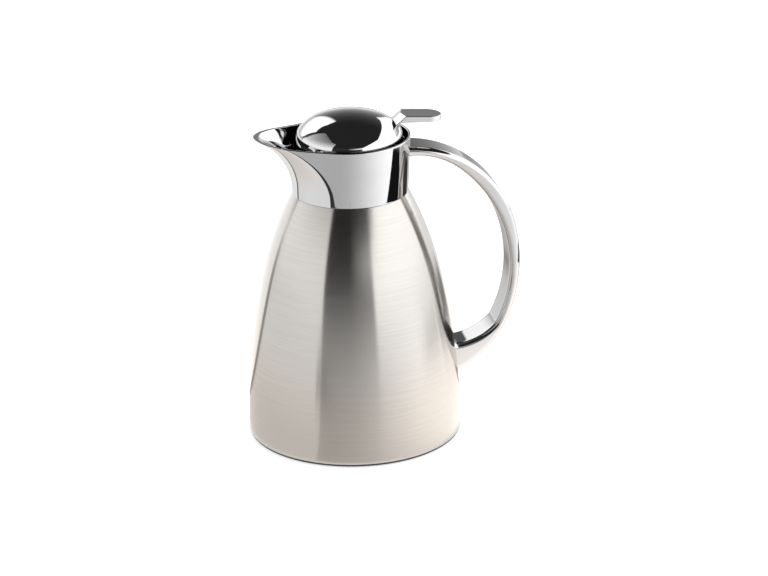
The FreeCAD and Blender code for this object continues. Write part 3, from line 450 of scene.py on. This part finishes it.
def rim_height(x):
    """Height of the rim: level behind, then rising in an arc to the spout's tip."""
    if x > RISE_START:
        return COLLAR_RIM
    return COLLAR_RIM + RISE_RADIUS - math.sqrt(RISE_RADIUS**2 - (x - RISE_START)**2)


def collar_radius(z):
    """Radius of the collar's round wall at a height."""
    rise = (z - SHELL_TOP) / (COLLAR_RIM - SHELL_TOP)
    return COLLAR_FOOT_RADIUS + (COLLAR_RIM_RADIUS - COLLAR_FOOT_RADIUS) * rise


def collar_point(u, z, inset):
    """A point of the collar's wall. u from 0 to 1 goes round the back, a flank, the lip and a flank."""
    round_wall = collar_radius(z) - inset
    lip = COLLAR_FOOT_RADIUS + SPOUT_ARC - math.sqrt((SPOUT_ARC + inset)**2 - (z - SHELL_TOP)**2)
    over = lip - round_wall
    reach = (over + math.hypot(over, SPOUT_BLEND)) / 2
    lip_radius = round_wall - SPOUT_TAPER * reach
    lip_centre = -(1 + SPOUT_TAPER) * reach
    back, flank = 0.62, 0.06
    turn = math.pi - FLANK
    if u < back:
        angle = turn * (2 * u / back - 1)
        return round_wall * math.cos(angle), round_wall * math.sin(angle)
    if u < back + flank or u > 1 - flank:
        side = 1 if u < 1 - flank else -1
        share = (u - back) / flank if side > 0 else (1 - u) / flank
        near = Vector((math.cos(turn), side * math.sin(turn)))
        start, end = near * round_wall, near * lip_radius + Vector((lip_centre, 0))
        return tuple(start.lerp(end, share))
    share = (u - back - flank) / (1 - back - 2 * flank)
    angle = turn + (TAU - 2 * turn) * share
    return lip_centre + lip_radius * math.cos(angle), lip_radius * math.sin(angle)


def collar_column(u, turns=5, levels=44):
    """One upright slice of the collar, all the way round its wall."""
    def at(z, inset):
        x, y = collar_point(u, z, inset)
        return x, y, z

    def rim(inset):
        z = COLLAR_RIM
        for _ in range(12):
            z = rim_height(collar_point(u, z, inset)[0])
        return z

    def hole(z):
        x, y = collar_point(u, z, 0)
        size = COLLAR_HOLE / math.hypot(x, y)
        return x * size, y * size, z

    quarter = [math.pi / 2 * i / turns for i in range(turns + 1)]
    between = range(1, levels)
    toe, edge, fold = COLLAR_FOOT_ROUND, COLLAR_RIM_ROUND, COLLAR_FLOOR_ROUND
    foot, floor = SHELL_TOP + toe, COLLAR_FLOOR + fold
    top_out, top_in = rim(edge) - edge, rim(COLLAR_WALL - edge) - edge
    column = [hole(SHELL_TOP)]
    column += [at(SHELL_TOP + toe * (1 - math.cos(q)), toe * (1 - math.sin(q))) for q in quarter]
    column += [at(foot + (top_out - foot) * i / levels, 0) for i in between]
    column += [at(top_out + edge * math.sin(q), edge * (1 - math.cos(q))) for q in quarter]
    column += [at(top_in + edge * math.cos(q), COLLAR_WALL - edge * (1 - math.sin(q))) for q in quarter]
    column += [at(top_in + (floor - top_in) * i / levels, COLLAR_WALL) for i in between]
    column += [at(floor - fold * math.sin(q), COLLAR_WALL + fold * (1 - math.cos(q))) for q in quarter]
    return column + [hole(COLLAR_FLOOR)]


def collar_columns(count=400):
    return [collar_column(i / count) for i in range(count)]


piece("spout_collar", *grid(collar_columns(), closed_rows=True), "carafe", "chrome_collar", ["collar"])


# Handle ----------------------------------------------------------------------------------------------------

HANDLE_SAMPLES = 400
handle_outer = resample(chain(*HANDLE_OUTER), HANDLE_SAMPLES)
handle_inner = resample(chain(*HANDLE_INNER) + [Vector(HANDLE_INNER_TAIL)], HANDLE_SAMPLES)


def along(line, share):
    """Point and unit direction at a share of a resampled line."""
    at = min(max(share, 0), 1) * (len(line) - 1)
    k = min(int(at), len(line) - 2)
    ahead, behind = line[min(k + 2, len(line) - 1)], line[max(k - 1, 0)]
    return line[k].lerp(line[k + 1], at - k), (ahead - behind).normalized()


def handle_point(column, share):
    """A point of the bow: the column goes round its section, the share from its upper to its lower root."""
    outside, y, drop = column
    point, ahead = along(handle_outer if outside else handle_inner, share)
    away = Vector((-ahead.y, ahead.x)) * (1 if outside else -1)
    point = point - away * drop
    return point.x, y, point.y


def root_gap(point, upper):
    """How far a point is outside the surface that the handle is seated on, less the bite into it."""
    x, y, z = point
    seat = collar_radius(z) - COLLAR_BITE if upper else shell_radius(min(z, SHELL_TOP)) - SHELL_BITE
    return math.hypot(x, y) - seat


def root_share(column, upper):
    """Where along the bow a line of its surface meets the collar or the shell."""
    inside, outside = (0.0, 0.3) if upper else (1.0, 0.7)
    for _ in range(40):
        middle = (inside + outside) / 2
        if root_gap(handle_point(column, middle), upper) > 0:
            outside = middle
        else:
            inside = middle
    return (inside + outside) / 2


def handle_section(flats=6, turns=7):
    """Columns round the bow's section: (on the outer line or not, y, depth under that line)."""
    quarter = [math.pi / 2 * i / turns for i in range(1, turns + 1)]
    columns = []
    for outside, radius in ((True, HANDLE_OUTER_ROUND), (False, HANDLE_INNER_ROUND)):
        half = HANDLE_HALF - radius
        level = [(outside, half * i / flats, 0.0) for i in range(-flats, flats + 1)]
        bend = [(outside, half + radius * math.sin(q), radius * (1 - math.cos(q))) for q in quarter]
        row = [(outside, -y, drop) for _, y, drop in reversed(bend)] + level + bend
        columns += row if outside else row[::-1]
    return columns


def handle_rings(steps=260):
    columns = handle_section()
    spans = [(root_share(column, True), root_share(column, False)) for column in columns]
    rings = []
    for i in range(steps + 1):
        ring = []
        for column, (first, last) in zip(columns, spans):
            ring.append(handle_point(column, first + (last - first) * i / steps))
        rings.append(ring)
    return rings


piece("bow_handle", *grid(handle_rings(), caps=True), "carafe", "chrome_handle", ["handle"])


# Lid dome --------------------------------------------------------------------------------------------------


def dome_line(inset, crown_end=89.97):
    """Three tangent arcs from the equator to the crown, centred on the axis, which stops just short of it."""
    x, z, start, points = DOME_RADIUS - DOME_ARCS[0][0], DOME_EQUATOR, 0.0, []
    for i, (radius, end) in enumerate(DOME_ARCS):
        points += arc((x, z), radius - inset, start, end, 26)[1 if points else 0:]
        turn = math.radians(end)
        larger = DOME_ARCS[i + 1][0] if i + 1 < len(DOME_ARCS) else radius + x / math.cos(turn)
        x += (radius - larger) * math.cos(turn)
        z += (radius - larger) * math.sin(turn)
        start = end
    return points + arc((x, z), larger - inset, start, crown_end, 40)[1:]


def dome_outline():
    foot = DOME_EQUATOR - DOME_SKIRT
    inside = dome_line(DOME_WALL)[::-1]
    return rounded([
        (DOME_RADIUS, foot, DOME_FOOT_ROUND),
        *dome_line(0.0),
        *inside,
        (DOME_RADIUS - DOME_WALL, foot, DOME_FOOT_ROUND),
    ])


def block(name, low, high):
    """A plain cutter, removed once it has been used."""
    corners = [(x, y, z) for x in (low[0], high[0]) for y in (low[1], high[1]) for z in (low[2], high[2])]
    faces = [(0, 1, 3, 2), (4, 6, 7, 5), (0, 4, 5, 1), (2, 3, 7, 6), (0, 2, 6, 4), (1, 5, 7, 3)]
    return new_object(name, new_mesh(name, corners, faces))


def cut(target, *cutters):
    """Applies boolean cuts, then marks the new edges sharp."""
    target.modifiers.clear()
    for cutter in cutters:
        modifier = target.modifiers.new("Cut", "BOOLEAN")
        modifier.operation = "DIFFERENCE"
        modifier.solver = "EXACT"
        modifier.object = cutter
    bpy.context.view_layer.update()
    evaluated = target.evaluated_get(bpy.context.evaluated_depsgraph_get())
    mesh = bpy.data.meshes.new_from_object(evaluated)
    target.modifiers.clear()
    target.data = mesh
    mesh.set_sharp_from_angle(angle=math.radians(40))
    for cutter in cutters:
        bpy.data.objects.remove(cutter)
    even_normals(target)


lid_cap = piece("lid_cap", *lathe(dome_outline()), "lid", "chrome_lid", ["lid_dome"])
cut(lid_cap, block("hinge_notch", *HINGE_NOTCH), block("stem_slot", *STEM_SLOT))


# Thumb lever -----------------------------------------------------------------------------------------------


def line_height(line, x):
    """Height of a left-to-right line of points at x."""
    for a, b in zip(line, line[1:]):
        if x <= b[0]:
            return a[1] + (b[1] - a[1]) * (x - a[0]) / (b[0] - a[0])
    return line[-1][1]


def open_line(corners, far=500):
    """A left-to-right line with rounded corners: a closed outline that two far points are taken off."""
    points = rounded([*corners, (corners[-1][0], far), (corners[0][0], far)], 8)
    return points[:-2]


lever_top, lever_bottom = open_line(LEVER_TOP_CORNERS), open_line(LEVER_BOTTOM_CORNERS)


def lever_height(x, y, under):
    """The underside, or the top: level across the paddle and ridged like a roof on the stem."""
    if under:
        return line_height(lever_bottom, x)
    top = line_height(lever_top, x)
    if x < STEM_HEEL:
        return top
    roof = RIDGE_LOW[1] + RIDGE_SLOPE * (x - RIDGE_LOW[0]) - RIDGE_FALL * abs(y)
    return (top + roof - math.hypot(top - roof, RIDGE_BLEND)) / 2


def lever_plan(spacing=0.4):
    """One side of the plan outline, from the foot to the tip: (point, outward direction)."""
    side = open_line(LEVER_SIDE_CORNERS)
    points = []
    for a, b in zip(side, side[1:]):
        steps = max(1, round((b - a).length / spacing))
        points += [a.lerp(b, i / steps) for i in range(steps)]
    points += arc((PADDLE_CENTRE, 0.0), PADDLE_RADIUS, 90, 0, 30)
    plan = []
    for i, point in enumerate(points):
        ahead = points[min(i + 1, len(points) - 1)] - points[max(i - 1, 0)]
        if i == len(points) - 1:
            ahead = Vector((0, -1))
        away = Vector((-ahead.y, ahead.x)).normalized()
        plan.append((point, away))
    return plan


def lever_mesh(turns=4, columns=24):
    """Rings round the plan outline, over its edges and down its side, closed by a lattice above and below."""
    radius, plan = LEVER_ROUND, lever_plan()
    margin = radius + LEVER_LATTICE_INSET
    both = plan + [(Vector((p.x, -p.y)), Vector((a.x, -a.y))) for p, a in reversed(plan[:-1])]
    quarter = [math.pi / 2 * i / turns for i in range(turns + 1)]
    profile = [(margin, False, 0)]
    profile += [(radius * (1 - math.sin(q)), False, radius * (1 - math.cos(q))) for q in quarter]
    profile += [(inset, True, -drop) for inset, _, drop in reversed(profile)]

    def flat(point, away, inset):
        x = min(max(point.x - away.x * inset, LEVER_FRONT), LEVER_TIP)
        return x, point.y - away.y * inset

    rings = []
    for inset, under, drop in profile:
        ring = []
        for point, away in both:
            x, y = flat(point, away, inset)
            ring.append((x, y, lever_height(x, y, under) - drop))
        rings.append(ring)
    points, faces = grid(rings)
    for under in (False, True):
        rows = []
        for point, away in plan:
            x, y = flat(point, away, margin)
            row = [y * (1 - 2 * k / columns) for k in range(columns + 1)]
            rows.append([(x, across, lever_height(x, across, under)) for across in row])
        more, lattice = grid(rows, closed_ring=False)
        faces += [tuple(corner + len(points) for corner in face) for face in lattice]
        points += more
    return points, faces


piece("thumb_paddle", *lever_mesh(), "lid", "chrome_lever", ["thumb_lever"])


# Light, floor and camera -----------------------------------------------------------------------------------

CAMERA_AZIMUTH, CAMERA_ELEVATION, CAMERA_ROLL = map(math.radians, (-9.5, 20.81, -1.22))
AIM, LIGHT_AIM, DISTANCE = Vector((0, 0, 0.110)), Vector((0, 0, 0.1)), 2.0
SENSOR, WIDTH, HEIGHT, FOCAL, CENTRE = 36.0, 768, 576, 3065.4, (352.07, 269.54)

TOWARD = Vector((math.sin(CAMERA_AZIMUTH), -math.cos(CAMERA_AZIMUTH), 0))
SIDE = Vector((math.cos(CAMERA_AZIMUTH), math.sin(CAMERA_AZIMUTH), 0))
UP = Vector((0, 0, 1))


def plane(toward, side, up):
    return (TOWARD * toward + SIDE * side + UP * up).normalized()


def from_angle(degrees):
    """The upright plane that a direction passes as it turns right past this angle from the camera."""
    a = math.radians(degrees)
    return plane(-math.sin(a), math.cos(a), 0)


def below_edge(slope, degrees):
    """The plane under the level top edge of a wall: its height over its distance, and where it is nearest."""
    a = math.radians(degrees)
    return plane(slope * math.cos(a), slope * math.sin(a), -1)


def patch(graph, direction, *edges):
    """One where a direction is inside every (plane, softness) edge, fading to zero across each."""
    return graph.product(*(
        graph.ramp(graph.dot(direction, normal), -soft / 2, soft / 2) for normal, soft in edges
    ))


# The tent's walls, as (plane, softness) edges: their tops, then their sides in degrees right of the camera
RIGHT_WALL = ((below_edge(1.142, 100), 0.02), (from_angle(27), 0.10), (-from_angle(166), 0.04))
LEFT_WALL = ((below_edge(1.92, -90), 0.05), (-from_angle(-37), 0.015), (from_angle(-121), 0.03))
REAR_PANEL = ((below_edge(1.0, -146), 0.03), (-from_angle(-129), 0.03), (from_angle(-169), 0.05))
BEHIND, AHEAD = ((plane(-1, 0, 0), 0.5),), ((plane(1, 0, 0), 0.1),)
RIGHT_GLOW, REAR_GLOW, REAR_FADE, DARK_GLOW = 1.9, 1.6, -5.5, 0.025


def studio(graph):
    """A light tent: two side walls, a panel behind on the left, a back that fades upwards, and in front a
    dark opening over a level strip of light. It lights the object and is reflected in it, and the camera
    sees plain white instead."""
    direction = graph.add("ShaderNodeTexCoord").outputs["Generated"]
    height, aside = graph.dot(direction, UP), graph.dot(direction, SIDE)
    right = graph.product(patch(graph, direction, *RIGHT_WALL), RIGHT_GLOW)
    left_glow = graph.ramp(height, 0.25, 0.9, 1.35, 0.2, smooth=False)
    left = graph.product(patch(graph, direction, *LEFT_WALL), left_glow)
    panel = graph.product(patch(graph, direction, *REAR_PANEL), graph.ramp(height, 0.12, 0.32, 0.85, 1.8))
    fading = graph.product(graph.math("EXPONENT", graph.product(height, REAR_FADE)), REAR_GLOW)
    back = graph.product(patch(graph, direction, *BEHIND), fading)
    band = graph.product(
        graph.ramp(height, 0.16, 0.20),
        graph.ramp(height, 0.34, 0.38, 1.0, 0.0),
        patch(graph, direction, *AHEAD),
        graph.ramp(aside, -0.05, 0.42, 0.05, 1.2, smooth=False),
    )
    light = graph.fold("MAXIMUM", right, left, panel, back, band, DARK_GLOW)
    lit = graph.add("ShaderNodeBackground", {"Color": (1, 1, 1, 1), "Strength": light})
    seen = graph.add("ShaderNodeBackground", {"Color": (1, 1, 1, 1), "Strength": 1.0})
    to_camera = graph.add("ShaderNodeLightPath").outputs["Is Camera Ray"]
    mixed = graph.add("ShaderNodeMixShader", {0: to_camera, 1: lit.outputs[0], 2: seen.outputs[0]})
    graph.add("ShaderNodeOutputWorld", {"Surface": mixed.outputs[0]})


world = bpy.data.worlds.new("studio")
world.use_nodes = True
bpy.context.scene.world = world
studio(Graph(world.node_tree))


def ring_mesh(name, inner, outer, height, steps=96, bands=6):
    """A flat ring in metres, finer towards its middle."""
    turns = [TAU * i / steps for i in range(steps)]
    radii = [inner + (outer - inner) * (i / bands)**2 for i in range(bands + 1)]
    rings = [[(r * math.cos(a), r * math.sin(a), height) for a in turns] for r in radii]
    made = new_object(name, new_mesh(name, *grid(rings), unit=1))
    return made


def pale_floor(g):
    paper = g.noise(30, detail=3)
    return {
        "Base Color": g.tint(paper, (0.9, 0.9, 0.9), (0.92, 0.92, 0.92)),
        "Roughness": 0.9,
        "Specular IOR Level": 0.1,
        "Emission Color": (1, 1, 1, 1),
        "Emission Strength": 0.6,
    }


floor = ring_mesh("floor", 0.0005, 9.0, 0.0)
floor.data.materials.append(material("pale_floor", pale_floor))

# An emissive ring seen only in reflections: it paints the table's reflection into the plating, it is no lamp
painted_ring = ring_mesh("painted_reflection_ring", 0.073, 4.0, 0.002)
painted_ring.visible_camera = False
painted_ring.visible_diffuse = False
painted_ring.visible_shadow = False
painted_ring.visible_transmission = False


def painted_reflection_light(graph):
    """A painted reflection of the table round the object: a glow that only reflections show, brighter to the
    right, warmer near the foot, with painted dark gaps. Angles are degrees right of the camera, distances
    metres."""
    place = graph.add("ShaderNodeNewGeometry").outputs["Position"]
    direction = graph.add("ShaderNodeVectorMath", {0: place}, operation="NORMALIZE").outputs[0]
    distance = graph.add("ShaderNodeVectorMath", {0: place}, operation="LENGTH").outputs["Value"]

    def sector(first, last, first_soft, last_soft):
        """One between two angles, fading to zero across each."""
        return patch(graph, direction, (from_angle(first), first_soft), (-from_angle(last), last_soft))

    def past(normal, low, high):
        """One past a straight edge across the table, zero before it."""
        return graph.ramp(graph.dot(place, normal), low, high)

    near = graph.ramp(distance, 0.22, 0.36, 1.0, 0.0)
    ring = graph.ramp(distance, 0.50, 0.56, 1.0, 0.0)
    far = graph.product(graph.ramp(distance, 0.22, 0.36), ring)

    across = graph.dot(direction, SIDE)
    front = graph.math("MULTIPLY_ADD", across, graph.math("MULTIPLY_ADD", across, 0.5, 0.42), 0.72)
    rear_left = patch(graph, direction, (from_angle(-121), 0.02))
    left = graph.product(rear_left, past(-from_angle(-37), -0.02, -0.016))
    # On the left the painted glow is darker near the foot: painted shade
    light = graph.mix(left, front, graph.ramp(distance, 0.1, 0.35, 0.87, 1.08))

    # Painted reflection: bright sectors are painted highlights, low tones are painted shade and dark flags,
    # with a painted black patch and a painted dark wedge
    black_edge = past(plane(-0.811, -0.584, 0), -0.3105, -0.3065)
    black_start = graph.ramp(distance, 0.376, 0.384)
    wedge_edge = past(plane(-0.852, -0.523, 0), -0.181, -0.178)
    parts = (
        (1.35, sector(-175, -127, 0.2, 0.02)),
        (0.3, sector(-127, -121, 0.02, 0.02)),
        (1.4, graph.product(sector(147, 178, 0.02, 0.1), near)),
        (0.01, graph.product(black_edge, black_start, sector(0, 108, 0.1, 0.03), ring)),
        (0.5, graph.product(sector(109, 121, 0.03, 0.05), far)),
        (0.06, graph.product(sector(123, 147, 0.05, 0.08), far)),
        (0.4, graph.product(sector(127, 139, 0.04, 0.04), near)),
        (0.15, graph.product(sector(-38.5, -36, 0.012, 0.012), far)),
        (0.05, graph.product(wedge_edge, sector(-38.5, 0, 0.012, 0.2), far)),
    )
    for tone, share in parts:
        light = graph.mix(share, light, tone)
    warmth = graph.tint(near, (1.0, 1.0, 1.0), (1.075, 1.015, 0.96))
    shader = graph.add("ShaderNodeEmission", {"Color": warmth, "Strength": light})
    graph.add("ShaderNodeOutputMaterial", {"Surface": shader.outputs[0]})


painted_ring_material = bpy.data.materials.new("painted_reflection_glow")
painted_ring_material.use_nodes = True
painted_reflection_light(Graph(painted_ring_material.node_tree))
painted_ring.data.materials.append(painted_ring_material)


def area_light(name, place, size, power):
    data = bpy.data.lights.new(name, "AREA")
    data.shape = "SQUARE"
    data.size = size
    data.energy = power
    made = new_object(name, data)
    made.location = place
    made.rotation_mode = "QUATERNION"
    made.rotation_quaternion = (Vector(place) - LIGHT_AIM).to_track_quat("Z", "Y")
    made.visible_glossy = False
    made.visible_camera = False


area_light("overhead", (0.2, 0.1, 1.6), 1.6, 11)

back = (TOWARD * math.cos(CAMERA_ELEVATION) + UP * math.sin(CAMERA_ELEVATION)).normalized()
up = back.cross(SIDE)
across = SIDE * math.cos(CAMERA_ROLL) + up * math.sin(CAMERA_ROLL)
above = up * math.cos(CAMERA_ROLL) - SIDE * math.sin(CAMERA_ROLL)
lens = bpy.data.cameras.new("camera")
lens.sensor_width = SENSOR
lens.lens = FOCAL / WIDTH * SENSOR
lens.shift_x = (WIDTH / 2 - CENTRE[0]) / WIDTH
lens.shift_y = (CENTRE[1] - HEIGHT / 2) / WIDTH
camera = new_object("camera", lens)
turned = Matrix((across, above, back)).transposed().to_4x4()
camera.matrix_world = Matrix.Translation(AIM + back * DISTANCE) @ turned
bpy.context.scene.camera = camera

bpy.context.scene.view_settings.view_transform = "Standard"
